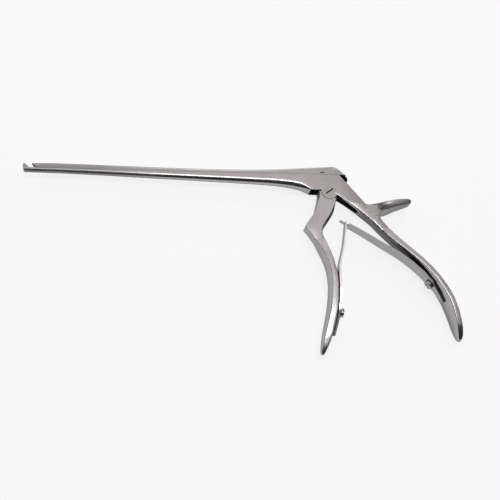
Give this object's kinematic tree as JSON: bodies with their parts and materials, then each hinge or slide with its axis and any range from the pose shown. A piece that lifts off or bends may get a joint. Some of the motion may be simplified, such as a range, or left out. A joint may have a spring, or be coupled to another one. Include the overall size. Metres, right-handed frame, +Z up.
{
  "type": "bone rongeur",
  "caption": "Up-biting bone punch rongeur: long fixed shaft with a footplate, a slider driven by a lever handle, a thumb spur and two interlocking leaf springs.",
  "frame": {"origin": "middle of the instrument's outline, on the surface that its grips lie on", "axes": "the instrument lies on its side: +Z is up through its side, X runs from the jaw (-X) to the handles (+X) along the shaft, and the handles hang towards -Y"},
  "size_m": [0.2512, 0.1148, 0.015],
  "materials": {
    "satin_steel": "satin ground",
    "slider_steel": "satin ground",
    "handle_steel": "satin ground",
    "screw_steel": "turned",
    "spring_steel": "polished"
  },
  "bodies": {
    "frame": {"shaft_and_rear_handle": "satin_steel", "pivot_screw": "screw_steel", "rear_leaf_spring": "spring_steel", "rear_spring_screw": "screw_steel"},
    "lever": {"front_handle": "handle_steel", "front_leaf_spring": "spring_steel", "front_spring_screw": "screw_steel"},
    "slider": {"slider": "slider_steel", "drive_pin": "screw_steel"}
  },
  "joints": [
    {"name": "handle_squeeze", "type": "hinge", "parent": "frame", "child": "lever", "pos_m": [0.0527, 0.0412, 0.0075], "axis": [0, 0, 1], "range_deg": [0, 15.56], "stiffness_Nm_per_rad": 1.5, "springref_deg": -6.88, "deforming": ["front_leaf_spring", "rear_leaf_spring"]},
    {"name": "slider_slide", "type": "slide", "parent": "frame", "child": "slider", "axis": [-1, 0, 0], "range_m": [0, 0.004]}
  ],
  "couplings": [
    {"joint": "slider_slide", "follows": "handle_squeeze", "m_per_rad": 0.014729}
  ]
}
